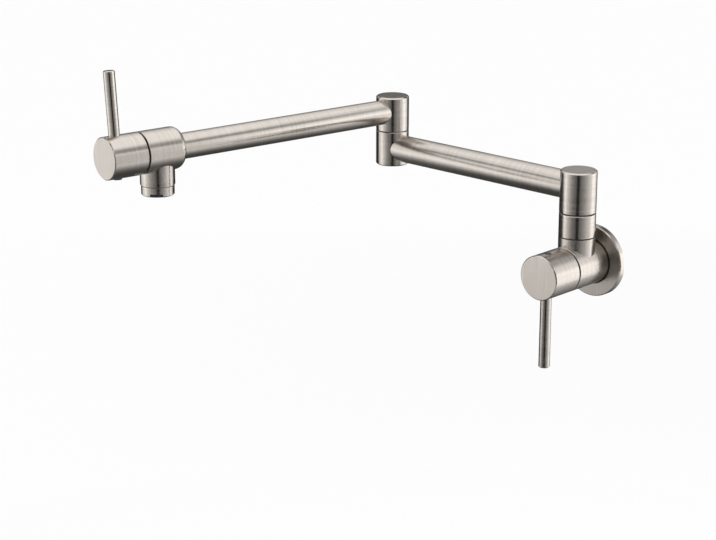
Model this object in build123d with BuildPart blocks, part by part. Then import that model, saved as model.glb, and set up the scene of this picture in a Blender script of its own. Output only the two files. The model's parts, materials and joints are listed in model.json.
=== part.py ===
from build123d import *

import os
from math import cos, radians, sin

os.makedirs("parts", exist_ok=True)

# A wall mounted pot filler with two swinging arms, in millimetres.
# The wall is the plane Y = 0 and the tap stands out of it along -Y. +Z is up.
# The origin is the middle of the threaded inlet, at the wall.

# ---- driving dimensions ------------------------------------------------------------------

# Wall end
flange_radius = 30.6
flange_thickness = 5.5
flange_wall = 1.6
flange_rim = 1.9                # radial thickness of the rim
flange_bevel = 0.8
flange_collar_wall = 3.0        # the inner collar that slides on the barrel
barrel_radius = 18.8
barrel_nose = 2.2               # from the post's side to the barrel's front face
inlet_radius = 9.32             # minor radius of a half inch pipe thread
inlet_depth = 14.0
post_setback = 26.0             # from the wall to the upright post's axis
post_radius = 15.3
neck_rise = 7.4                 # from the barrel's side up to the seam under the swivel ring

# First arm
first_arm_height = 67.3
first_arm_reach = 207.3         # from the post's axis to the elbow's axis
first_tube_radius = 11.7
wall_head_below = 8.8           # drum below its arm's tube
wall_head_above = 2.9
elbow_step = 0.85               # the elbow's drums are slimmer than the post by this much
lower_drum_below = 3.4
lower_drum_above = 3.7
lower_drum_floor = 5.0

# Second arm, on top of the first and turned back from its line by the elbow's angle
elbow_angle = 81.05
second_tube_radius = 10.8
upper_drum_below = 5.45
upper_drum_above = 3.1
tube_wall = 1.5
tube_socket = 8.0               # how far a tube slides over its boss

# Spout end
nozzle_reach = 244.3            # from the elbow's axis to the nozzle's axis
nozzle_radius = 14.4
nozzle_drop = 10.8              # below the spout body's side
outlet_drop = 8.2               # below the nozzle
spout_radius = 17.6
spout_nose = 1.7                # from the nozzle's side to the body's front face
spout_heel = 5.7                # from the nozzle's side back to where the tube enters
spout_shoulder = 6.0            # rounding where the tube enters

# Swivel joints
spigot_inset = 5.8              # from the post's side to the spigot
shank_inset = 4.35
annulus_inset = 3.7
cap_inset = 2.45
shank_length = 9.7
waterway_radius = 6.0
port_radius = 3.4
blind_end = 1.0                 # waterway above the ports
wall_gap = 1.0                  # the dark line between a drum and what it turns on
elbow_gap = 0.6
axial_play = 0.15
cap_thickness = 2.4
clip_width = 2.1
clip_thickness = 1.0
clip_bite = 0.8                 # depth of the retaining clip's groove
clip_mouth = 9.3                # opening of the spring clip
cap_gap = 0.85                  # between the spigot's top and the cap
seal_section = 1.6
groove_ratio = 1.25             # a seal groove's width, in seal sections
washer_setback = 1.2            # from the drum's side to the washer's edge
first_seal_rise = 3.4           # from the drum's bottom to the lower seal

# Quarter turn cartridge, measured back from the front face of its body
seat_depth = 24.0
seal_thickness = 2.0
seal_cover = 1.5                # how far the skirt reaches over the seat seal
side_port_width = 9.0
fixed_disc_thickness = 2.5
moving_disc_thickness = 2.4
disc_radius = 8.2
disc_film = 0.05                # water film between the two ceramic discs
window_inner = 2.7              # a disc window's inner radius
window_length = 7.8
drive_height = 3.0
drive_width = 6.0
tang_width = 3.0
tang_length = 9.0
tang_height = 1.2
cartridge_radius = 9.8
chamber_radius = 11.0
collar_radius = 13.9
collar_depth = 9.0
collar_front = 1.0
gasket_thickness = 1.2
hex_size = 19.0                 # across flats
hex_height = 4.0
stem_radius = 4.5
stem_seal_section = 1.4
spline_radius = 4.0
spline_tooth = 0.35
spline_tooth_width = 0.96
spline_teeth = 20
spline_start = 7.0              # in front of the body's face
spline_end = 24.0

# Handles
hub_gap = 1.0
wall_hub_length = 31.2
spout_hub_length = 32.2
hub_wall = 2.6
hub_recess = 8.0
hub_edge = 0.8
lever_inset = 11.0              # from the hub's front face back to the lever's axis
lever_root_radius = 4.6
lever_tip_radius = 4.75
lever_edge = 0.7
lever_sink = 0.9                # how deep the lever's shoulder sits in the hub
stud_radius = 3.0
stud_end = 5.8                  # from the hub's axis
wall_lever_tip = 79.0           # from the hub's axis
spout_lever_tip = 69.6
spout_lever_lean = 5.3          # the spout's lever stands a little past upright
screw_radius = 2.5
screw_length = 5.5
screw_socket = 2.5              # across flats
plug_radius = 3.5
plug_seat = 12.0                # from the hub's axis
wall_plug_stand = 0.0
spout_plug_stand = 0.8

# Aerator
aerator_inset = 0.7             # from the nozzle's side to the aerator's
nozzle_bevel = 0.6
nozzle_wall = 2.4               # round the aerator's thread
aerator_thread_length = 7.2
aerator_wall = 1.55
aerator_rim = 1.3               # the housing's wall round the insert's plate
aerator_edge = 0.8
notch_width = 10.5
notch_height = 2.7
notch_bearing = -46.4           # towards which the rim's first notch looks, from +X
insert_length = 11.9
insert_wall = 1.0
insert_floor = 4.4
plate_thickness = 3.4           # the insert's plate, flush with the outlet's edge
jet_radius = 0.75
jet_pitch = 2.3
jets_across = 7
screen_thickness = 0.8
screen_slots = 6
screen_slot_circle = 5.7
screen_slot_length = 6.2
aerator_gasket_thickness = 2.0
aerator_gasket_width = 3.25

# Fits and small breaks
running_fit = 0.08              # radial, for what turns
thread_fit = 0.05               # radial, for what is screwed, brazed or pressed together
loose_fit = 0.1
edge_break = 0.3
seam_bevel = 0.5                # each side of the seam between the neck and the swivel ring
rim_bevel = 1.0
cut_past = 1.0                  # how far a cut runs past the surface that it opens

# ---- sizes that follow ---------------------------------------------------------------------

barrel_front = post_setback + post_radius + barrel_nose
neck_top = barrel_radius + neck_rise
wall_head_bottom = first_arm_height - first_tube_radius - wall_head_below
wall_head_top = first_arm_height + first_tube_radius + wall_head_above
wall_ring_top = wall_head_bottom - wall_gap
lower_drum_bottom = first_arm_height - first_tube_radius - lower_drum_below
lower_drum_top = first_arm_height + first_tube_radius + lower_drum_above
upper_drum_bottom = lower_drum_top + elbow_gap
second_arm_height = upper_drum_bottom + upper_drum_below + second_tube_radius
upper_drum_top = second_arm_height + second_tube_radius + upper_drum_above

elbow_radius = post_radius - elbow_step
spigot_radius = post_radius - spigot_inset
shank_radius = post_radius - shank_inset
clip_radius = spigot_radius + clip_width
groove_width = groove_ratio * seal_section
stem_groove_width = groove_ratio * stem_seal_section
stem_seal_middle = stem_groove_width / 2 - collar_depth
groove_radius = spigot_radius - seal_section - thread_fit
clip_groove_radius = spigot_radius - clip_bite
seal_front = seal_thickness - seat_depth
fixed_disc_front = seal_front + fixed_disc_thickness
moving_disc_back = fixed_disc_front + disc_film
moving_disc_front = moving_disc_back + moving_disc_thickness
drive_front = moving_disc_front + drive_height
cavity_front = drive_front + axial_play

spout_start = nozzle_reach - nozzle_radius - spout_heel
spout_front = nozzle_reach + nozzle_radius + spout_nose
nozzle_bottom = spout_radius + nozzle_drop
outlet_bottom = nozzle_bottom + outlet_drop
nozzle_bore = nozzle_radius - nozzle_wall
nozzle_floor = nozzle_bottom - aerator_thread_length - aerator_gasket_thickness
spigot_seat = (chamber_radius + spout_radius) / 2
aerator_radius = nozzle_radius - aerator_inset
aerator_thread_radius = nozzle_bore - thread_fit
housing_bore = aerator_thread_radius - aerator_wall
plate_bore = aerator_radius - aerator_rim
insert_radius = housing_bore - loose_fit
insert_top = outlet_bottom - insert_length
thread_top = nozzle_bottom - aerator_thread_length


class Turning:
    """A turning axis: squares across it at any distance, and a plane for half profiles."""

    def __init__(self, origin, along, side):
        along = Vector(*along).normalized()
        side = Vector(*side).normalized()
        self.origin = Vector(*origin)
        self.axis = Axis(self.origin, along)
        self.square = Plane(self.origin, x_dir=side, z_dir=along)
        self.profile = Plane(self.origin, x_dir=side, z_dir=side.cross(along))

    def at(self, distance):
        return self.square.offset(distance)


elbow_x = -first_arm_reach
arm_two = (-cos(radians(elbow_angle)), -sin(radians(elbow_angle)), 0)
arm_two_side = Vector(*arm_two).cross(Vector(0, 0, 1))
lean = radians(spout_lever_lean)
spout_lever = Vector(0, 0, cos(lean)) + arm_two_side * sin(lean)
spout_origin = Vector(elbow_x, -post_setback, second_arm_height)

post = Turning((0, -post_setback, 0), (0, 0, 1), (-1, 0, 0))
elbow = Turning((elbow_x, -post_setback, 0), (0, 0, 1), (1, 0, 0))
elbow_out = Turning((elbow_x, -post_setback, 0), (0, 0, 1), arm_two)
first_arm = Turning((0, -post_setback, first_arm_height), (-1, 0, 0), (0, 0, 1))
second_arm = Turning(tuple(spout_origin), arm_two, (0, 0, 1))
wall_axis = Turning((0, 0, 0), (0, -1, 0), (0, 0, 1))
wall_face = Turning((0, -barrel_front, 0), (0, -1, 0), (0, 0, -1))
spout_face_origin = spout_origin + Vector(*arm_two) * spout_front
spout_face = Turning(tuple(spout_face_origin), arm_two, (0, 0, 1))
spout_turn = Turning(tuple(spout_face_origin), arm_two, tuple(spout_lever))
nozzle_origin = spout_origin + Vector(*arm_two) * nozzle_reach
nozzle = Turning(tuple(nozzle_origin), (0, 0, -1), arm_two)
notch_side = (cos(radians(notch_bearing)), sin(radians(notch_bearing)), 0)
outlet = Turning(tuple(nozzle_origin), (0, 0, -1), notch_side)


def save(piece, name):
    """Labels a finished piece and writes it under its own name."""
    piece.part.label = name
    export_step(piece.part, f"parts/{name}.step")


def ring(turning, start, end, outer, inner):
    """A flat ring such as a gasket, a washer or a disc seal."""
    with BuildPart() as solid:
        with BuildSketch(turning.at(start)):
            Circle(outer)
            Circle(inner, mode=Mode.SUBTRACT)
        extrude(amount=end - start)
    return solid


def seal_rings(turning, heights, outer, section):
    """Square cut sealing rings on one axis, as one group of separate solids."""
    with BuildPart() as seals:
        for height in heights:
            with BuildSketch(turning.at(height - section / 2)):
                Circle(outer)
                Circle(outer - section, mode=Mode.SUBTRACT)
            extrude(amount=section)
    return seals


def half_profile(turning, points):
    """A closed half outline of (radius, distance) points, ready to revolve."""
    with BuildSketch(turning.profile) as outline:
        with BuildLine():
            Polyline(*points, close=True)
        make_face()
    return outline.sketch


# ---- swivel joint pieces, made once for the wall and once for the elbow ---------------------


def swivel_levels(drum_bottom, drum_top):
    """Heights inside a swivelling drum: the ledge that the clip keeps, and its two seals."""
    ledge = drum_top - cap_thickness - cap_gap - 2 * clip_thickness - axial_play
    return ledge, [drum_bottom + first_seal_rise, ledge - groove_width]


def swivel_post(turning, ring_bottom, ring_top, drum_bottom, drum_top, port_height):
    """The hollow post that is screwed into what carries it and that a drum turns on."""
    ledge, seals = swivel_levels(drum_bottom, drum_top)
    clip_bottom = ledge + axial_play
    spigot_top = clip_bottom + 2 * clip_thickness
    with BuildPart() as swivel:
        with BuildSketch(turning.at(ring_bottom - shank_length)):
            Circle(shank_radius)
        extrude(amount=shank_length)
        if ring_top > ring_bottom:
            with BuildSketch(turning.at(ring_bottom)):
                Circle(post_radius)
            extrude(amount=ring_top - ring_bottom)
            for end, bevel in ((0, seam_bevel), (-1, edge_break)):
                rims = swivel.edges().filter_by(GeomType.CIRCLE).group_by(SortBy.RADIUS)[-1]
                chamfer(rims.sort_by(Axis.Z)[end], bevel)
        with BuildSketch(turning.at(ring_top)):
            Circle(spigot_radius)
        extrude(amount=spigot_top - ring_top)
        for height in seals:
            with BuildSketch(turning.at(height - groove_width / 2)):
                Circle(spigot_radius + cut_past)
                Circle(groove_radius, mode=Mode.SUBTRACT)
            extrude(amount=groove_width, mode=Mode.SUBTRACT)
        with BuildSketch(turning.at(clip_bottom)):
            Circle(spigot_radius + cut_past)
            Circle(clip_groove_radius, mode=Mode.SUBTRACT)
        extrude(amount=clip_thickness, mode=Mode.SUBTRACT)
        with BuildSketch(turning.at(ring_bottom - shank_length)):
            Circle(waterway_radius)
        waterway_top = port_height + port_radius + blind_end
        extrude(amount=waterway_top - ring_bottom + shank_length, mode=Mode.SUBTRACT)
        with BuildSketch(Plane(turning.at(port_height).origin, z_dir=turning.square.x_dir)):
            Circle(port_radius)
        extrude(amount=spigot_radius, both=True, mode=Mode.SUBTRACT)
    return swivel


def retaining_clip(turning, drum_bottom, drum_top):
    """The open spring clip that keeps a drum on its post."""
    ledge = swivel_levels(drum_bottom, drum_top)[0]
    with BuildPart() as clip:
        with BuildSketch(turning.at(ledge + axial_play)):
            Circle(clip_radius)
            Circle(clip_groove_radius + thread_fit, mode=Mode.SUBTRACT)
            with Locations((-clip_radius, 0)):
                Rectangle(clip_radius, clip_mouth, mode=Mode.SUBTRACT)
        extrude(amount=clip_thickness)
    return clip


def swivel_drum(turning, radius, drum_bottom, drum_top, arm, tube_radius):
    """A drum that turns on a post, with the boss that its arm's tube slides over."""
    ledge, seals = swivel_levels(drum_bottom, drum_top)
    annulus_bottom = seals[0] + groove_width
    annulus_top = seals[1] - groove_width
    annulus_radius = radius - annulus_inset
    boss_radius = tube_radius - tube_wall - thread_fit
    with BuildPart() as drum:
        with BuildSketch(turning.at(drum_bottom)):
            Circle(radius)
        extrude(amount=drum_top - drum_bottom)
        chamfer(drum.faces().sort_by(Axis.Z)[-1].edges(), rim_bevel)
        chamfer(drum.faces().sort_by(Axis.Z)[0].edges(), edge_break)
        with BuildSketch(arm.at(radius / 2)):
            Circle(boss_radius)
        extrude(amount=radius / 2 + tube_socket)
        with BuildSketch(arm.at(annulus_radius + tube_wall)):
            Circle(boss_radius - 2 * tube_wall)
        extrude(amount=radius, mode=Mode.SUBTRACT)
        with BuildSketch(turning.at(drum_bottom)):
            Circle(spigot_radius + running_fit)
        extrude(amount=drum_top - drum_bottom, mode=Mode.SUBTRACT)
        with BuildSketch(turning.at(annulus_bottom)):
            Circle(annulus_radius)
        extrude(amount=annulus_top - annulus_bottom, mode=Mode.SUBTRACT)
        with BuildSketch(turning.at(ledge)):
            Circle(radius - cap_inset + thread_fit)
        extrude(amount=drum_top - ledge, mode=Mode.SUBTRACT)
        with BuildSketch(arm.at(spigot_radius)):
            Circle(port_radius)
        extrude(amount=radius / 2, mode=Mode.SUBTRACT)
    return drum


def drum_cap(turning, radius, drum_top):
    """The flush disc that closes a drum's top."""
    with BuildPart() as cap:
        with BuildSketch(turning.at(drum_top - cap_thickness)):
            Circle(radius - cap_inset)
        extrude(amount=cap_thickness)
        chamfer(cap.faces().sort_by(Axis.Z)[-1].edges(), edge_break / 2)
    return cap


# ---- cartridge and handle pieces, made once for the wall and once for the spout -------------


def cartridge_pocket(face):
    """Half outline of the stepped hole that a cartridge screws into."""
    collar_bore = collar_radius + thread_fit
    points = [(0, -seat_depth), (chamber_radius, -seat_depth), (chamber_radius, -collar_depth),
              (collar_bore, -collar_depth), (collar_bore, cut_past), (0, cut_past)]
    return half_profile(face, points)


def cartridge_body(face):
    """The brass headwork: a windowed skirt round the discs, a threaded collar and a hexagon."""
    skirt_back = seal_front - seal_cover
    cavity_radius = disc_radius + loose_fit
    collar_back = gasket_thickness - collar_depth
    points = [(stem_radius + running_fit, cavity_front), (cavity_radius, cavity_front),
              (cavity_radius, skirt_back), (cartridge_radius, skirt_back),
              (cartridge_radius, collar_back), (collar_radius, collar_back),
              (collar_radius, -collar_front), (stem_radius + running_fit, -collar_front)]
    with BuildPart() as body:
        revolve(half_profile(face, points), axis=face.axis)
        with BuildSketch(face.at(-collar_front)):
            RegularPolygon(hex_size / 2, 6, major_radius=False)
            Circle(stem_radius + running_fit, mode=Mode.SUBTRACT)
        extrude(amount=hex_height)
        with BuildSketch(face.at(moving_disc_front)):
            Rectangle(2 * chamber_radius, side_port_width)
            Rectangle(side_port_width, 2 * chamber_radius)
            Circle(cavity_radius, mode=Mode.SUBTRACT)
        extrude(amount=drive_height, mode=Mode.SUBTRACT)
    return body


def disc_windows(turn_by):
    """Two opposite windows of a ceramic disc, each a rounded wedge."""
    with BuildSketch() as windows:
        with PolarLocations((window_inner + waterway_radius) / 2, 2, start_angle=turn_by):
            SlotOverall(window_length, waterway_radius - window_inner, rotation=90)
    return windows.sketch


def ceramic_disc(face, back, thickness, radius, turn_by, slotted):
    """One of the two lapped discs; the moving one has a slot for the spindle's tang."""
    with BuildPart() as plate:
        with BuildSketch(face.at(back)):
            Circle(radius)
            add(disc_windows(turn_by), mode=Mode.SUBTRACT)
        extrude(amount=thickness)
        if slotted:
            with BuildSketch(face.at(back + thickness - tang_height - loose_fit)):
                Rectangle(tang_length + 2 * loose_fit, tang_width + 2 * loose_fit)
            extrude(amount=tang_height + loose_fit, mode=Mode.SUBTRACT)
    return plate


def spline_outline(clearance):
    """The toothed end of a spindle, or with a clearance the socket that it fills."""
    half = spline_tooth_width / 2 + clearance
    tooth = spline_tooth + clearance
    with BuildSketch() as outline:
        Circle(spline_radius + clearance)
        with PolarLocations(spline_radius + clearance, spline_teeth):
            Polygon((-tooth, -half), (tooth, 0), (-tooth, half), align=None)
    return outline.sketch


def valve_spindle(face):
    """The spindle: a tang and a drive bar under the discs, a sealed stem and a splined end."""
    with BuildPart() as spindle:
        with BuildSketch(face.at(moving_disc_front)):
            Circle(disc_radius - loose_fit)
            Rectangle(2 * disc_radius, drive_width, mode=Mode.INTERSECT)
        extrude(amount=drive_height)
        with BuildSketch(face.at(moving_disc_front - tang_height)):
            Rectangle(tang_length, tang_width)
        extrude(amount=tang_height)
        with BuildSketch(face.at(drive_front)):
            Circle(stem_radius)
        extrude(amount=spline_start - drive_front)
        with BuildSketch(face.at(-collar_depth)):
            Circle(stem_radius + cut_past)
            Circle(stem_radius - stem_seal_section - thread_fit, mode=Mode.SUBTRACT)
        extrude(amount=stem_groove_width, mode=Mode.SUBTRACT)
        with BuildSketch(face.at(spline_start)):
            add(spline_outline(0))
        extrude(amount=spline_end - spline_start)
    return spindle


def handle_hub(turning, radius, length):
    """The round handle hub, with its spindle socket, lever seat and screw hole."""
    back = hub_gap
    front = hub_gap + length
    lever_at = front - lever_inset
    recess_front = back + hub_recess
    with BuildPart() as hub:
        with BuildSketch(turning.at(back)):
            Circle(radius)
        extrude(amount=length)
        chamfer(hub.edges().filter_by(GeomType.CIRCLE), hub_edge)
        with BuildSketch(turning.at(back)):
            Circle(radius - hub_wall)
        extrude(amount=hub_recess, mode=Mode.SUBTRACT)
        with BuildSketch(turning.at(recess_front - cut_past)):
            add(spline_outline(loose_fit))
        extrude(amount=spline_end + loose_fit - recess_front + cut_past, mode=Mode.SUBTRACT)
        lever_plane = Plane(turning.at(lever_at).origin, x_dir=turning.axis.direction,
                            z_dir=turning.square.x_dir)
        with BuildSketch(lever_plane.offset(radius - lever_sink)):
            Circle(lever_root_radius + loose_fit)
        extrude(amount=2 * lever_sink, mode=Mode.SUBTRACT)
        with BuildSketch(lever_plane.offset(stud_end - loose_fit)):
            Circle(stud_radius + thread_fit)
        extrude(amount=radius, mode=Mode.SUBTRACT)
        with BuildSketch(lever_plane.offset(-radius - cut_past)):
            Circle(plug_radius + thread_fit)
        extrude(amount=radius + cut_past - plug_seat, mode=Mode.SUBTRACT)
        with BuildSketch(lever_plane.offset(-plug_seat - cut_past)):
            Circle(screw_radius + thread_fit)
        extrude(amount=plug_seat + cut_past, mode=Mode.SUBTRACT)
    return hub


def lever_frame(turning, length):
    """The lever's own axis: square to the hub's axis, outwards on the lever's side."""
    origin = turning.at(hub_gap + length - lever_inset).origin
    return Turning(tuple(origin), tuple(turning.square.x_dir), tuple(turning.axis.direction))


def handle_lever(turning, radius, length, tip):
    """The slim rod and the stud that screws it into the hub."""
    lever = lever_frame(turning, length)
    seat = radius - lever_sink
    with BuildPart() as rod:
        with BuildSketch(lever.profile):
            with BuildLine():
                Polyline((0, seat), (lever_root_radius, seat), (lever_tip_radius, tip), (0, tip),
                         close=True)
            make_face()
        revolve(axis=lever.axis)
        chamfer(rod.edges().filter_by(GeomType.CIRCLE).sort_by(SortBy.RADIUS)[-1], lever_edge)
        with BuildSketch(lever.at(stud_end)):
            Circle(stud_radius)
        extrude(amount=seat - stud_end)
    return rod


def set_screw(turning, length):
    """The socket screw that clamps the hub to the spindle, opposite the lever."""
    lever = lever_frame(turning, length)
    inner = spline_radius + spline_tooth + 2 * loose_fit
    with BuildPart() as screw:
        with BuildSketch(lever.at(-inner - screw_length)):
            Circle(screw_radius)
        extrude(amount=screw_length)
        with BuildSketch(lever.at(-inner - screw_length)):
            RegularPolygon(screw_socket / 2, 6, major_radius=False)
        extrude(amount=screw_length / 2, mode=Mode.SUBTRACT)
    return screw


def screw_plug(turning, radius, length, stand):
    """The soft plug over the set screw."""
    lever = lever_frame(turning, length)
    outer = radius + stand
    with BuildPart() as plug:
        with BuildSketch(lever.at(-outer)):
            Circle(plug_radius)
        extrude(amount=outer - plug_seat)
        if stand > 0:
            rims = plug.edges().filter_by(GeomType.CIRCLE)
            outer_rim = rims.sort_by(lambda rim: (rim.arc_center - lever.origin).length)[-1]
            chamfer(outer_rim, min(stand, plug_radius) / 3)
        else:
            with BuildSketch(turning.at(hub_gap)):
                Circle(radius)
            extrude(amount=length, mode=Mode.INTERSECT)
    return plug


def handle_and_cartridge(end, face, turning, radius, length, tip, stand):
    """Every piece of one valve: its cartridge in the body and the handle that turns it."""
    save(cartridge_body(face), f"{end}_cartridge_body")
    save(ring(face, -collar_depth, gasket_thickness - collar_depth, collar_radius - loose_fit,
              cartridge_radius + loose_fit), f"{end}_cartridge_gasket")
    save(ring(face, -seat_depth, seal_front, disc_radius, waterway_radius + loose_fit), f"{end}_seat_seal")
    save(ceramic_disc(face, seal_front, fixed_disc_thickness, disc_radius, 0, False), f"{end}_fixed_disc")
    save(ceramic_disc(turning, moving_disc_back, moving_disc_thickness, disc_radius - loose_fit, 90, True),
         f"{end}_moving_disc")
    save(valve_spindle(turning), f"{end}_spindle")
    save(seal_rings(turning, [stem_seal_middle], stem_radius, stem_seal_section), f"{end}_spindle_seal")
    save(handle_hub(turning, radius, length), f"{end}_handle_hub")
    save(handle_lever(turning, radius, length, tip), f"{end}_lever")
    save(set_screw(turning, length), f"{end}_set_screw")
    save(screw_plug(turning, radius, length, stand), f"{end}_screw_plug")


# ---- wall end ------------------------------------------------------------------------------

collar_outer = barrel_radius + loose_fit + flange_collar_wall
flange_seal_height = flange_thickness / 2
flange_seal_radius = barrel_radius + loose_fit + seal_section
with BuildPart() as wall_flange:
    with BuildSketch(wall_axis.at(0)):
        Circle(flange_radius)
    extrude(amount=flange_thickness)
    chamfer(wall_flange.faces().sort_by(Axis.Y)[0].edges(), flange_bevel)
    with BuildSketch(wall_axis.at(0)):
        Circle(flange_radius - flange_rim)
        Circle(collar_outer, mode=Mode.SUBTRACT)
    extrude(amount=flange_thickness - flange_wall, mode=Mode.SUBTRACT)
    with BuildSketch(wall_axis.at(0)):
        Circle(barrel_radius + loose_fit)
    extrude(amount=flange_thickness, mode=Mode.SUBTRACT)
    with BuildSketch(wall_axis.at(flange_seal_height - groove_width / 2)):
        Circle(flange_seal_radius + thread_fit)
    extrude(amount=groove_width, mode=Mode.SUBTRACT)
save(wall_flange, "wall_flange")

save(seal_rings(wall_axis, [flange_seal_height], flange_seal_radius, seal_section), "flange_seal")

with BuildPart() as wall_valve_body:
    with BuildSketch(wall_axis.at(0)):
        Circle(barrel_radius)
    extrude(amount=barrel_front)
    chamfer(wall_valve_body.faces().sort_by(Axis.Y)[0].edges(), edge_break)
    with BuildSketch(post.at(0)):
        Circle(post_radius)
    extrude(amount=neck_top)
    chamfer(wall_valve_body.faces().sort_by(Axis.Z)[-1].edges(), seam_bevel)
    revolve(cartridge_pocket(wall_face), axis=wall_face.axis, mode=Mode.SUBTRACT)
    with BuildSketch(wall_axis.at(0)):
        Circle(inlet_radius)
    extrude(amount=inlet_depth, mode=Mode.SUBTRACT)
    with BuildSketch(wall_axis.at(0)):
        Circle(waterway_radius)
    extrude(amount=barrel_front - seat_depth + cut_past, mode=Mode.SUBTRACT)
    with BuildSketch(post.at(0)):
        Circle(waterway_radius)
    extrude(amount=neck_top, mode=Mode.SUBTRACT)
    with BuildSketch(post.at(neck_top - shank_length - loose_fit)):
        Circle(shank_radius + thread_fit)
    extrude(amount=shank_length + loose_fit + cut_past, mode=Mode.SUBTRACT)
save(wall_valve_body, "wall_valve_body")

handle_and_cartridge("wall", wall_face, wall_face, barrel_radius, wall_hub_length, wall_lever_tip,
                     wall_plug_stand)

save(swivel_post(post, neck_top, wall_ring_top, wall_head_bottom, wall_head_top, first_arm_height),
     "wall_swivel_post")
wall_seals = swivel_levels(wall_head_bottom, wall_head_top)[1]
save(seal_rings(post, wall_seals, spigot_radius, seal_section), "wall_swivel_seals")
washer_inner = spigot_radius + loose_fit
save(ring(post, wall_ring_top, wall_head_bottom - axial_play, post_radius - washer_setback, washer_inner),
     "wall_swivel_washer")
save(retaining_clip(post, wall_head_bottom, wall_head_top), "wall_retaining_clip")

# ---- first arm -----------------------------------------------------------------------------

save(swivel_drum(post, post_radius, wall_head_bottom, wall_head_top, first_arm, first_tube_radius),
     "wall_head")
save(drum_cap(post, post_radius, wall_head_top), "wall_head_cap")

with BuildPart() as first_arm_tube:
    with BuildSketch(first_arm.at(0)):
        Circle(first_tube_radius)
        Circle(first_tube_radius - tube_wall, mode=Mode.SUBTRACT)
    extrude(amount=first_arm_reach)
    for end, radius in ((post, post_radius), (elbow, elbow_radius)):
        with BuildSketch(end.at(lower_drum_bottom - radius)):
            Circle(radius + thread_fit)
        extrude(amount=4 * radius, mode=Mode.SUBTRACT)
save(first_arm_tube, "first_arm_tube")

lower_boss_radius = first_tube_radius - tube_wall - thread_fit
with BuildPart() as elbow_lower_drum:
    with BuildSketch(elbow.at(lower_drum_bottom)):
        Circle(elbow_radius)
    extrude(amount=lower_drum_top - lower_drum_bottom)
    chamfer(elbow_lower_drum.faces().sort_by(Axis.Z)[0].edges(), rim_bevel)
    chamfer(elbow_lower_drum.faces().sort_by(Axis.Z)[-1].edges(), edge_break)
    with BuildSketch(first_arm.at(first_arm_reach - elbow_radius / 2)):
        Circle(lower_boss_radius)
    extrude(amount=-elbow_radius / 2 - tube_socket)
    with BuildSketch(first_arm.at(first_arm_reach)):
        Circle(lower_boss_radius - 2 * tube_wall)
    extrude(amount=-elbow_radius - tube_socket, mode=Mode.SUBTRACT)
    with BuildSketch(elbow.at(lower_drum_bottom + lower_drum_floor)):
        Circle(waterway_radius + tube_wall)
    extrude(amount=lower_drum_top - lower_drum_bottom, mode=Mode.SUBTRACT)
    with BuildSketch(elbow.at(lower_drum_top - shank_length - loose_fit)):
        Circle(shank_radius + thread_fit)
    extrude(amount=shank_length + loose_fit + cut_past, mode=Mode.SUBTRACT)
save(elbow_lower_drum, "elbow_lower_drum")

save(swivel_post(elbow_out, lower_drum_top, lower_drum_top, upper_drum_bottom, upper_drum_top,
                 second_arm_height), "elbow_swivel_post")
elbow_seals = swivel_levels(upper_drum_bottom, upper_drum_top)[1]
save(seal_rings(elbow, elbow_seals, spigot_radius, seal_section), "elbow_swivel_seals")
save(ring(elbow, lower_drum_top, upper_drum_bottom - axial_play, elbow_radius - washer_setback,
          washer_inner), "elbow_swivel_washer")
save(retaining_clip(elbow, upper_drum_bottom, upper_drum_top), "elbow_retaining_clip")

# ---- second arm ----------------------------------------------------------------------------

save(swivel_drum(elbow, elbow_radius, upper_drum_bottom, upper_drum_top, second_arm,
                 second_tube_radius), "elbow_upper_drum")
save(drum_cap(elbow, elbow_radius, upper_drum_top), "elbow_head_cap")

with BuildPart() as second_arm_tube:
    with BuildSketch(second_arm.at(0)):
        Circle(second_tube_radius)
        Circle(second_tube_radius - tube_wall, mode=Mode.SUBTRACT)
    extrude(amount=spout_start)
    with BuildSketch(elbow.at(upper_drum_bottom)):
        Circle(elbow_radius + thread_fit)
    extrude(amount=upper_drum_top - upper_drum_bottom, mode=Mode.SUBTRACT)
save(second_arm_tube, "second_arm_tube")

with BuildPart() as spout_body:
    with BuildSketch(second_arm.at(spout_start)):
        Circle(spout_radius)
    extrude(amount=spout_front - spout_start)
    ends = spout_body.edges().filter_by(GeomType.CIRCLE).sort_by(
        lambda rim: (rim.arc_center - spout_origin).length)
    fillet(ends[0], spout_shoulder)
    chamfer(ends[-1], edge_break)
    with BuildSketch(second_arm.at(spout_start - tube_socket)):
        Circle(second_tube_radius - tube_wall - thread_fit)
    extrude(amount=tube_socket)
    revolve(cartridge_pocket(spout_face), axis=spout_face.axis, mode=Mode.SUBTRACT)
    with BuildSketch(second_arm.at(spout_start - tube_socket)):
        Circle(waterway_radius)
    extrude(amount=spout_front - spout_start - seat_depth + tube_socket + cut_past, mode=Mode.SUBTRACT)
    with BuildSketch(nozzle.at(0)):
        Circle(waterway_radius)
    extrude(amount=spout_radius, mode=Mode.SUBTRACT)
    with BuildSketch(nozzle.at(spigot_seat)):
        Circle(waterway_radius + tube_wall + thread_fit)
    extrude(amount=spout_radius, mode=Mode.SUBTRACT)
save(spout_body, "spout_body")

with BuildPart() as spout_nozzle:
    with BuildSketch(nozzle.at(0)):
        Circle(nozzle_radius)
    extrude(amount=nozzle_bottom)
    with BuildSketch(second_arm.at(spout_start)):
        Circle(spout_radius + thread_fit)
    extrude(amount=spout_front - spout_start + nozzle_radius, mode=Mode.SUBTRACT)
    with BuildSketch(nozzle.at(spigot_seat + loose_fit)):
        Circle(waterway_radius + tube_wall)
    extrude(amount=nozzle_floor - spigot_seat - loose_fit)
    with BuildSketch(nozzle.at(0)):
        Circle(waterway_radius)
    extrude(amount=nozzle_bottom, mode=Mode.SUBTRACT)
    with BuildSketch(nozzle.at(nozzle_floor)):
        Circle(nozzle_bore)
    extrude(amount=nozzle_bottom - nozzle_floor, mode=Mode.SUBTRACT)
    rims = spout_nozzle.edges().filter_by(GeomType.CIRCLE).group_by(SortBy.RADIUS)[-1]
    chamfer(rims.sort_by(Axis.Z)[0], nozzle_bevel)
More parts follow.
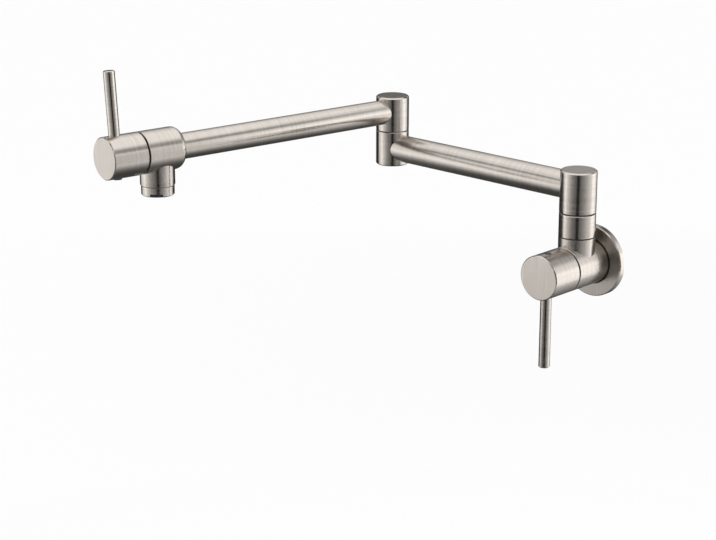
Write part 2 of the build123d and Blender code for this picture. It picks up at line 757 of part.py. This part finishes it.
save(spout_nozzle, "spout_nozzle")

# ---- aerator -------------------------------------------------------------------------------

with BuildPart() as aerator_housing:
    with BuildSketch(outlet.at(nozzle_bottom)):
        Circle(aerator_radius)
    extrude(amount=outlet_bottom - nozzle_bottom)
    chamfer(aerator_housing.faces().sort_by(Axis.Z)[0].edges(), aerator_edge)
    chamfer(aerator_housing.faces().sort_by(Axis.Z)[-1].edges(), edge_break)
    with BuildSketch(outlet.at(thread_top)):
        Circle(aerator_thread_radius)
    extrude(amount=aerator_thread_length)
    with BuildSketch(outlet.at(thread_top)):
        Circle(housing_bore)
    extrude(amount=outlet_bottom - thread_top, mode=Mode.SUBTRACT)
    with BuildSketch(outlet.at(outlet_bottom - plate_thickness)):
        Circle(plate_bore)
    extrude(amount=plate_thickness, mode=Mode.SUBTRACT)
    with BuildSketch(outlet.at(outlet_bottom - notch_height)):
        Rectangle(3 * aerator_radius, notch_width)
    extrude(amount=notch_height, mode=Mode.SUBTRACT)
save(aerator_housing, "aerator_housing")

with BuildPart() as aerator_insert:
    with BuildSketch(outlet.at(insert_top)):
        Circle(insert_radius)
    extrude(amount=insert_length)
    with BuildSketch(outlet.at(outlet_bottom - plate_thickness)):
        Circle(plate_bore - loose_fit)
    extrude(amount=plate_thickness)
    with BuildSketch(outlet.at(insert_top)):
        Circle(insert_radius - insert_wall)
    extrude(amount=insert_length - insert_floor, mode=Mode.SUBTRACT)
    with BuildSketch(outlet.at(outlet_bottom - insert_floor)):
        with HexLocations(jet_pitch / 2, jets_across, jets_across, major_radius=False):
            RegularPolygon(jet_radius, 6)
        Circle(insert_radius - 2 * insert_wall, mode=Mode.INTERSECT)
    extrude(amount=insert_floor, mode=Mode.SUBTRACT)
save(aerator_insert, "aerator_insert")

with BuildPart() as aerator_screen:
    with BuildSketch(outlet.at(insert_top - screen_thickness)):
        Circle(insert_radius)
        with PolarLocations(screen_slot_circle, screen_slots):
            SlotOverall(screen_slot_length, 2 * jet_radius, mode=Mode.SUBTRACT)
        Circle(jet_radius, mode=Mode.SUBTRACT)
    extrude(amount=screen_thickness)
save(aerator_screen, "aerator_screen")

gasket_outer = aerator_thread_radius - loose_fit
save(ring(outlet, nozzle_floor, thread_top, gasket_outer, gasket_outer - aerator_gasket_width),
     "aerator_gasket")

handle_and_cartridge("spout", spout_face, spout_turn, spout_radius, spout_hub_length, spout_lever_tip,
                     spout_plug_stand)
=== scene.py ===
import json
from math import cos, pi, radians, sin

import bpy
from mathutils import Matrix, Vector


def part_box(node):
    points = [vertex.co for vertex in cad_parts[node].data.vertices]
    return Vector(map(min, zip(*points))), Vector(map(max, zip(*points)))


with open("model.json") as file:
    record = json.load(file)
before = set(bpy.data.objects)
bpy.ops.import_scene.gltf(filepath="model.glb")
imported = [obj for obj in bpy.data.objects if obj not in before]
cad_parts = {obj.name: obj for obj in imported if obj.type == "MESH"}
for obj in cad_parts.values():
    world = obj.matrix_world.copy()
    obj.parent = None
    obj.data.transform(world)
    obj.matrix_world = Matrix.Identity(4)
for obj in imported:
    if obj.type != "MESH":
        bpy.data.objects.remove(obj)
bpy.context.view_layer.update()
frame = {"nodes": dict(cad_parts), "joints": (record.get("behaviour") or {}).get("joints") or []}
nodes = frame["nodes"]

# ---- the photograph's camera ---------------------------------------------------------------

PHOTO_WIDTH = 716
SENSOR_WIDTH = 36.0
FOCAL_PIXELS = 2000.0
CAMERA_YAW = 43.6
CAMERA_PITCH = 17.0
CAMERA_PLACE = (0.9638, -1.3000, 0.4814)
CAMERA_REACH = 100.0

# ---- directions on the object --------------------------------------------------------------

UP = Vector((0, 0, 1))
OUT_OF_WALL = Vector((0, -1, 0))
ARM_ONE = Vector((-1, 0, 0))
spout_joint = next(joint for joint in frame["joints"] if joint["name"] == "spout_handle_turn")
ARM_TWO = Vector(spout_joint["axis"]).normalized()

# The barrel lies along the Y axis, and the neck stands up from it to the seam under the ring.
SEAM_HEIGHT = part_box("wall_valve_body")[1][2]
BARREL_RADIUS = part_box("wall_valve_body")[1][0]


# ---- shader expressions --------------------------------------------------------------------


class Amount:
    """A shader socket that takes part in Python expressions."""

    def __init__(self, finish, socket):
        self.finish = finish
        self.socket = socket

    def maths(self, operation, *values):
        made = self.finish.add("ShaderNodeMath", {"operation": operation}, list(values))
        return Amount(self.finish, made.outputs[0])

    def __add__(self, other):
        return self.maths("ADD", self, other)

    __radd__ = __add__

    def __mul__(self, other):
        return self.maths("MULTIPLY", self, other)

    __rmul__ = __mul__

    def __sub__(self, other):
        return self.maths("SUBTRACT", self, other)

    def __rsub__(self, other):
        return self.maths("SUBTRACT", other, self)

    def __truediv__(self, other):
        return self.maths("DIVIDE", self, other)

    def __rtruediv__(self, other):
        return self.maths("DIVIDE", other, self)

    def __pow__(self, other):
        return self.maths("POWER", self, other)

    def __abs__(self):
        return self.maths("ABSOLUTE", self)

    def __gt__(self, other):
        return self.maths("GREATER_THAN", self, other)

    def over(self, other):
        """The larger of the two."""
        return self.maths("MAXIMUM", self, other)

    def clamped(self):
        """Nought to one."""
        return self.maths("MINIMUM", self.over(0.0), 1.0)


class Finish:
    """One procedural material."""

    def __init__(self, name):
        self.material = bpy.data.materials.new(name)
        self.material.use_nodes = True
        self.tree = self.material.node_tree
        self.tree.nodes.clear()
        self.surface = self.add("ShaderNodeBsdfPrincipled")
        self.output = self.add("ShaderNodeOutputMaterial")
        self.tree.links.new(self.surface.outputs[0], self.output.inputs["Surface"])

    def add(self, kind, settings=None, sockets=None):
        """A node with its settings, and the values or links of its sockets, by name or in order."""
        node = self.tree.nodes.new(kind)
        for name, value in (settings or {}).items():
            setattr(node, name, value)
        named = sockets.items() if isinstance(sockets, dict) else enumerate(sockets or [])
        for name, value in named:
            self.feed(node, name, value)
        return node

    def feed(self, node, name, value):
        if isinstance(value, Amount):
            self.tree.links.new(value.socket, node.inputs[name])
        else:
            node.inputs[name].default_value = value

    def value(self, kind, settings=None, sockets=None, output=0):
        made = self.add(kind, settings, sockets)
        return Amount(self, made.outputs[output])

    def place(self):
        return self.value("ShaderNodeTexCoord", output="Object")

    def facing(self):
        return self.value("ShaderNodeTexCoord", output="Normal")

    def split(self, vector):
        parts = self.add("ShaderNodeSeparateXYZ", None, [vector])
        return [Amount(self, socket) for socket in parts.outputs]

    def dot(self, vector, axis):
        return self.value("ShaderNodeVectorMath", {"operation": "DOT_PRODUCT"}, [vector, axis], "Value")

    def scaled(self, vector, scale):
        sockets = {"Vector": vector, "Scale": scale}
        return self.value("ShaderNodeVectorMath", {"operation": "SCALE"}, sockets)

    def stretched(self, vector, axis, along, across):
        """Coordinates that run fast along one axis and slowly across it, so noise turns to lines."""
        slow = self.scaled(vector, across)
        fast = self.scaled(axis, self.dot(vector, axis) * along)
        return self.value("ShaderNodeVectorMath", {"operation": "ADD"}, [slow, fast])

    def turn(self, y, x):
        """The angle of a direction in the plane, in degrees."""
        return self.value("ShaderNodeMath", {"operation": "ARCTAN2"}, [y, x]) * (180 / pi)

    def noise(self, vector, scale=1.0, detail=2.0, roughness=0.5):
        sockets = {"Vector": vector, "Scale": scale, "Detail": detail, "Roughness": roughness}
        return self.value("ShaderNodeTexNoise", {"noise_dimensions": "3D"}, sockets, "Fac")

    def mix_vectors(self, factor, first, second):
        """By number, because a Mix node's numbers, vectors and colours share their sockets' names."""
        return self.value("ShaderNodeMix", {"data_type": "VECTOR"}, {0: factor, 4: first, 5: second}, 1)

    def mix(self, factor, first, second):
        """A colour between two others."""
        return self.value("ShaderNodeMix", {"data_type": "RGBA"}, {0: factor, 6: first, 7: second}, 2)

    def ramp(self, amount, start, end):
        """Nought at the start and one at the end, smooth between them."""
        if start > end:
            return 1 - self.ramp(amount, end, start)
        settings = {"interpolation_type": "SMOOTHSTEP"}
        return self.value("ShaderNodeMapRange", settings, [amount, start, end])

    def band(self, amount, start, first, last, end):
        """One from first to last, and nought before the start and after the end."""
        return self.ramp(amount, start, first) * self.ramp(amount, end, last)

    def bumped(self, height, distance):
        return self.value("ShaderNodeBump", None, {"Distance": distance, "Height": height})

    def finish(self, **sockets):
        for name, value in sockets.items():
            self.feed(self.surface, name.replace("_", " "), value)
        return self.material


def colour(red, green, blue):
    return (red, green, blue, 1.0)


# ---- finishes ------------------------------------------------------------------------------

NICKEL = colour(0.70, 0.655, 0.605)
NICKEL_DEEP = colour(0.59, 0.538, 0.488)
# Painted shade: darker tones of the same nickel for the cover plate's face
PLATE_SHADED_TONES = (colour(0.48, 0.44, 0.40), colour(0.58, 0.545, 0.50))
# Painted shade: the dark colour laid in the seam under the ring and round the barrel on the cover plate
PAINTED_SHADE = colour(0.06, 0.052, 0.046)

# Brush lines to the metre, and how often each changes in a metre of its length
BRUSH_LINES = 3200.0
BRUSH_BREAKS = 45.0
BRUSH_DEPTH = 0.00003
FINE_DEPTH = 0.4
BROAD_SCALE = 0.22
CLOUD_SCALE = 60.0

# How far the fine lines, the broad lines and the clouds move the colour and the roughness
FINE_TONE = 1.2
BROAD_TONE = 2.2
CLOUD_TONE = 0.6
BROAD_ROUGHNESS = 0.14

SATIN = 0.17
BARREL_SATIN = 0.24
END_FACING = 0.9
QUARTER_TURN = 0.25

# How far the painted shade reaches from the seam under the ring, and on the cover plate from the barrel
SEAM_SHADE = 0.0007
PLATE_SHADE = 0.0014


def brushed_nickel(name, axis, end_lines, roughness=SATIN, stretch=0.0,
                   shaded_end_tones=None, end_roughness=0.0, painted_shade_line=None):
    """Satin nickel brushed round an axis, with straight lines on the ends that face along it.

    The stretch draws reflections out across the brush lines, on pieces that stand upright. The dark
    line is painted shade beside a neighbour, as a function of the finish and the place.
    """
    made = Finish(name)
    place = made.place()
    turned = made.stretched(place, axis, BRUSH_LINES, BRUSH_BREAKS)
    ends = made.stretched(place, end_lines, BRUSH_LINES, BRUSH_BREAKS)
    on_end = abs(made.dot(made.facing(), axis)) > END_FACING
    lines = made.mix_vectors(on_end, turned, ends)
    fine = made.noise(lines, detail=3.0, roughness=0.6)
    broad = made.noise(lines, BROAD_SCALE)
    cloud = made.noise(place, CLOUD_SCALE)
    uneven = (fine - 0.5) * FINE_TONE + (broad - 0.5) * BROAD_TONE + (cloud - 0.5) * CLOUD_TONE
    tone = (uneven + 0.5).clamped()
    shade = made.mix(tone, NICKEL_DEEP, NICKEL)
    # Painted shade: the faces along the axis take the darker tones given
    if shaded_end_tones:
        shade = made.mix(on_end, shade, made.mix(tone, *shaded_end_tones))
    # Painted shade: the mask darkens the colour beside a neighbour
    if painted_shade_line:
        shade = made.mix(painted_shade_line(made, *made.split(place)), shade, PAINTED_SHADE)
    return made.finish(
        Base_Color=shade,
        Metallic=1.0,
        Roughness=roughness + on_end * end_roughness + (broad - 0.5) * BROAD_ROUGHNESS,
        Normal=made.bumped(fine * FINE_DEPTH + broad, BRUSH_DEPTH),
        Anisotropic=stretch,
        Anisotropic_Rotation=QUARTER_TURN,
    )


def under_ring(made, x, y, z):
    """Painted shade in the seam between the wall valve's neck and the swivel ring."""
    return made.ramp(abs(z - SEAM_HEIGHT), SEAM_SHADE, SEAM_SHADE / 2)


def round_barrel(made, x, y, z):
    """Painted shade where the cover plate meets the barrel that comes through it."""
    from_axis = (x * x + z * z) ** 0.5
    return made.ramp(from_axis, BARREL_RADIUS + PLATE_SHADE, BARREL_RADIUS + PLATE_SHADE / 2)


def machined_brass(name):
    made = Finish(name)
    rings = made.noise(made.stretched(made.place(), OUT_OF_WALL, along=1500.0, across=60.0))
    return made.finish(
        Base_Color=made.mix(rings, colour(0.62, 0.42, 0.16), colour(0.80, 0.60, 0.28)),
        Metallic=1.0,
        Roughness=0.24 + rings * 0.16,
    )


def black_rubber(name):
    made = Finish(name)
    grain = made.noise(made.place(), 900.0, detail=3.0)
    return made.finish(
        Base_Color=made.mix(grain, colour(0.012, 0.012, 0.012), colour(0.028, 0.027, 0.026)),
        Roughness=0.55 + grain * 0.2,
        Normal=made.bumped(grain, distance=0.00002),
    )


def lapped_ceramic(name):
    made = Finish(name)
    grain = made.noise(made.place(), 400.0)
    return made.finish(
        Base_Color=made.mix(grain, colour(0.80, 0.78, 0.73), colour(0.88, 0.87, 0.84)),
        Roughness=0.12 + grain * 0.08,
    )


def plain_steel(name):
    made = Finish(name)
    grain = made.noise(made.stretched(made.place(), UP, along=1800.0, across=120.0))
    return made.finish(
        Base_Color=made.mix(grain, colour(0.40, 0.40, 0.41), colour(0.56, 0.56, 0.57)),
        Metallic=1.0,
        Roughness=0.22 + grain * 0.14,
    )


def moulded_plastic(name, dark, light):
    made = Finish(name)
    grain = made.noise(made.place(), 1200.0)
    return made.finish(
        Base_Color=made.mix(grain, dark, light),
        Roughness=0.42 + grain * 0.12,
        Normal=made.bumped(grain, distance=0.00001),
    )


nickel_upright = brushed_nickel("nickel_upright", UP, ARM_ONE)
# The ring carries painted shade in the seam under it
nickel_ring = brushed_nickel("nickel_ring", UP, ARM_ONE, painted_shade_line=under_ring)
nickel_nozzle = brushed_nickel("nickel_nozzle", UP, ARM_ONE, roughness=0.20, stretch=0.4)
nickel_lever = brushed_nickel("nickel_lever", UP, ARM_ONE, roughness=0.05)
nickel_barrel = brushed_nickel("nickel_barrel", OUT_OF_WALL, ARM_ONE, roughness=BARREL_SATIN)
# The body carries painted shade in the seam under the ring
nickel_body = brushed_nickel("nickel_body", OUT_OF_WALL, ARM_ONE, roughness=BARREL_SATIN,
                             painted_shade_line=under_ring)
# The cover plate: painted shade round the barrel, and a face in darker tones of painted shade
nickel_flange = brushed_nickel("nickel_flange", OUT_OF_WALL, ARM_ONE, shaded_end_tones=PLATE_SHADED_TONES,
                               end_roughness=0.16, painted_shade_line=round_barrel)
nickel_arm_one = brushed_nickel("nickel_arm_one", ARM_ONE, UP, roughness=0.23)
nickel_arm_two = brushed_nickel("nickel_arm_two", ARM_TWO, ARM_TWO.cross(UP), roughness=0.20)
nickel_spout_hub = brushed_nickel("nickel_spout_hub", ARM_TWO, ARM_TWO.cross(UP), roughness=0.16)
brass = machined_brass("machined_brass")
rubber = black_rubber("black_rubber")
ceramic = lapped_ceramic("lapped_ceramic")
steel = plain_steel("plain_steel")
acetal = moulded_plastic("black_acetal", colour(0.014, 0.014, 0.015), colour(0.03, 0.03, 0.032))
plug_plastic = moulded_plastic("grey_plug", colour(0.05, 0.047, 0.046), colour(0.08, 0.075, 0.072))

FINISHES = {
    nickel_upright: ["wall_head", "wall_head_cap", "elbow_lower_drum", "elbow_upper_drum",
                     "elbow_head_cap"],
    nickel_ring: ["wall_swivel_post"],
    nickel_nozzle: ["spout_nozzle", "aerator_housing"],
    nickel_lever: ["wall_lever", "spout_lever"],
    nickel_barrel: ["wall_handle_hub"],
    nickel_body: ["wall_valve_body"],
    nickel_flange: ["wall_flange"],
    nickel_arm_one: ["first_arm_tube"],
    nickel_arm_two: ["second_arm_tube", "spout_body"],
    nickel_spout_hub: ["spout_handle_hub"],
    brass: ["wall_cartridge_body", "wall_spindle", "elbow_swivel_post", "spout_cartridge_body",
            "spout_spindle"],
    rubber: ["flange_seal", "wall_cartridge_gasket", "wall_seat_seal", "wall_swivel_seals",
             "wall_spindle_seal", "elbow_swivel_seals", "aerator_gasket", "spout_cartridge_gasket",
             "spout_seat_seal", "spout_spindle_seal"],
    ceramic: ["wall_fixed_disc", "wall_moving_disc", "spout_fixed_disc", "spout_moving_disc"],
    steel: ["wall_retaining_clip", "elbow_retaining_clip", "wall_set_screw", "spout_set_screw",
            "aerator_screen"],
    acetal: ["wall_swivel_washer", "elbow_swivel_washer", "aerator_insert"],
    plug_plastic: ["wall_screw_plug", "spout_screw_plug"],
}
for finish, names in FINISHES.items():
    for name in names:
        for slot in nodes[name].material_slots:
            slot.material = finish

# ---- studio --------------------------------------------------------------------------------

AIM = Vector((-0.11, -0.13, 0.07))
TOWARDS_CAMERA = CAMERA_YAW - 90
FLOOR_LEVEL = -0.60
FLOOR_HALF = 14.0
FLOOR_PAINT = colour(0.985, 0.985, 0.985)
FLOOR_ROUGHNESS = 0.9
SKY_LIGHT = 1.0

# Dark cards stand round the tap. Their places are in metres from AIM, with +X towards the camera.
CARD_SHADE = 0.012
CARD_STEPS = 32
FRONT_SPAN = 80.0
FRONT_FALLOFF = 1.7
FRONT_BESIDE = 0.88
TABLE_LEVEL = -0.62
TABLE_HALF = 2.2
TABLE_REACH = 0.93
TABLE_FALLOFF = 3.4


def in_scene(name, data):
    made = bpy.data.objects.new(name, data)
    bpy.context.scene.collection.objects.link(made)
    return made


def square_mesh(name, half, height):
    corners = [(x * half, y * half, height) for x, y in ((-1, -1), (1, -1), (1, 1), (-1, 1))]
    mesh = bpy.data.meshes.new(name)
    mesh.from_pydata(corners, [], [(0, 1, 2, 3)])
    return mesh


def curved_mesh(name, distance, bearings, heights):
    """A sheet bent round the tap; bearings in degrees, to the right of the camera."""
    first, last = bearings
    corners = []
    for step in range(CARD_STEPS + 1):
        bearing = radians(first + (last - first) * step / CARD_STEPS)
        for height in heights:
            corners.append((distance * cos(bearing), distance * sin(bearing), height))
    faces = [(2 * step, 2 * step + 2, 2 * step + 3, 2 * step + 1) for step in range(CARD_STEPS)]
    mesh = bpy.data.meshes.new(name)
    mesh.from_pydata(corners, [], faces)
    return mesh


def dark_card(mesh, density, darkest):
    """A card that shows in the metal's reflections alone.

    Its density, from nought to one, is a function of its finish and of a place on it.
    """
    made = Finish(mesh.name)
    clear = made.add("ShaderNodeBsdfTransparent")
    dark = made.add("ShaderNodeEmission", None, {"Color": colour(1, 1, 1), "Strength": CARD_SHADE})
    cover = made.add("ShaderNodeMixShader", None, [density(made, *made.split(made.place())) * darkest])
    made.tree.links.new(clear.outputs[0], cover.inputs[1])
    made.tree.links.new(dark.outputs[0], cover.inputs[2])
    made.tree.links.new(cover.outputs[0], made.output.inputs["Surface"])
    mesh.materials.append(made.material)
    card = in_scene(mesh.name, mesh)
    card.location = AIM
    card.rotation_euler = (0, 0, radians(TOWARDS_CAMERA))
    card.visible_camera = False
    card.visible_diffuse = False
    card.visible_shadow = False
    card.visible_transmission = False


def front_of_room(made, x, y, z):
    """Black where the camera stands, and beside that from FRONT_BESIDE down to nothing."""
    aside = abs(made.turn(y, x))
    thinning = (1 - (aside / FRONT_SPAN) ** FRONT_FALLOFF) * FRONT_BESIDE
    return made.ramp(aside, 15, 8).over(thinning) * made.ramp(z, 0.75, 0.35)


def over_camera(made, x, y, z):
    """Above the camera; the post reflects it onto the wall valve's handle."""
    return made.band(z, 0.60, 0.85, 1.40, 1.90) * made.ramp(abs(made.turn(y, x)), 62, 40)


def back_of_room(made, x, y, z):
    """Turns count from straight behind, to the left; the dark leans at its left and thins out above."""
    behind = made.turn(0 - y, 0 - x)
    leaning = ((z + 0.40) / 0.16).clamped() ** 2 * 16
    foot = made.ramp(z, -0.36, -0.44) * 12
    sides = made.ramp(behind, -54, -46) * made.ramp(behind + leaning + foot, 84, 71)
    higher = made.ramp(behind, -16, 0) * 0.15
    return sides * made.ramp(z - higher, 0.80, -0.12)


def left_gap(made, x, y, z):
    """Between the left light and the one overhead, and higher towards the camera."""
    aside = abs(made.turn(y, x))
    middle = made.ramp(aside, 85, 60) * 0.20 + 0.66
    return made.ramp(abs(z - middle), 0.20, 0.05) * made.ramp(aside, 42, 60)


def right_gap(made, x, y, z):
    """Between the right light and the one overhead."""
    return made.band(made.turn(y, x), 50, 65, 82, 100) * made.band(z, 0.46, 0.70, 0.86, 1.40)


def wall_side_gap(made, x, y, z):
    """Above the right light and round behind it, where the wall valve's handle looks."""
    bearing = made.turn(y, x)
    sides = made.ramp(bearing, 92, 108) * 0.60 + made.ramp(bearing, 118, 138) * 0.32
    return made.ramp(abs(z - 0.70), 0.36, 0.14) * sides * made.ramp(bearing, 168, 156)


def table_below(made, x, y, z):
    """Dark under the tap and behind it, and narrower to the left."""
    along = x + 0.30
    across = y + 0.12 + along * 0.3
    aside = across.over(across * -1.15)
    reach = (along ** 2 * 0.3 + aside ** 2) ** 0.5
    return 1 / (1 + (reach / TABLE_REACH) ** TABLE_FALLOFF) * made.ramp(reach, TABLE_HALF, 1.4)


def softbox(name, bearing, height, distance, wide, tall, radiance):
    """A lamp turned to the tap's middle, its bearing and height in degrees, as bright at any size."""
    lamp = bpy.data.lights.new(name, "AREA")
    lamp.shape = "RECTANGLE"
    lamp.size = wide
    lamp.size_y = tall
    lamp.energy = radiance * pi * wide * tall
    turn = radians(TOWARDS_CAMERA + bearing)
    level = distance * cos(radians(height))
    rise = distance * sin(radians(height))
    made = in_scene(name, lamp)
    made.location = AIM + Vector((level * cos(turn), level * sin(turn), rise))
    made.rotation_euler = (AIM - made.location).to_track_quat("-Z", "Y").to_euler()


floor = in_scene("floor", square_mesh("floor", FLOOR_HALF, FLOOR_LEVEL))
pale_floor = Finish("pale_floor").finish(Base_Color=FLOOR_PAINT, Roughness=FLOOR_ROUGHNESS)
floor.data.materials.append(pale_floor)

dark_card(curved_mesh("front_card", 1.3, bearings=(-FRONT_SPAN, FRONT_SPAN), heights=(-0.75, 0.75)),
          front_of_room, darkest=1.0)
dark_card(curved_mesh("over_camera_card", 1.31, bearings=(-63, 63), heights=(0.59, 1.91)),
          over_camera, darkest=0.65)
dark_card(curved_mesh("back_card", 1.0, bearings=(124, 262), heights=(-0.75, 0.96)),
          back_of_room, darkest=0.97)
dark_card(curved_mesh("left_gap_card", 1.0, bearings=(-140, -42), heights=(0.44, 1.08)),
          left_gap, darkest=0.80)
dark_card(curved_mesh("right_gap_card", 1.0, bearings=(50, 105), heights=(0.45, 1.41)),
          right_gap, darkest=0.68)
dark_card(curved_mesh("wall_side_card", 1.02, bearings=(91, 169), heights=(0.33, 1.07)),
          wall_side_gap, darkest=1.0)
dark_card(square_mesh("under_card", TABLE_HALF, TABLE_LEVEL),
          table_below, darkest=0.95)

softbox("left_softbox", bearing=-88, height=-9, distance=0.95, wide=0.26, tall=0.40, radiance=0.30)
softbox("right_softbox", bearing=99, height=-12, distance=0.95, wide=0.42, tall=0.60, radiance=0.47)
softbox("right_strip", bearing=79, height=8, distance=0.95, wide=0.32, tall=0.36, radiance=0.50)
softbox("top_softbox", bearing=180, height=78, distance=1.1, wide=1.5, tall=1.2, radiance=0.18)

world = bpy.data.worlds.new("studio")
bpy.context.scene.world = world
world.use_nodes = True
world.node_tree.nodes["Background"].inputs["Color"].default_value = colour(1, 1, 1)
world.node_tree.nodes["Background"].inputs["Strength"].default_value = SKY_LIGHT

camera_data = bpy.data.cameras.new("photo_camera")
camera_data.sensor_width = SENSOR_WIDTH
camera_data.lens = SENSOR_WIDTH * FOCAL_PIXELS / PHOTO_WIDTH
camera_data.clip_end = CAMERA_REACH
camera = in_scene("photo_camera", camera_data)
camera.location = CAMERA_PLACE
camera.rotation_euler = (radians(90 - CAMERA_PITCH), 0, radians(CAMERA_YAW))
bpy.context.scene.camera = camera
bpy.context.scene.view_settings.view_transform = "Standard"
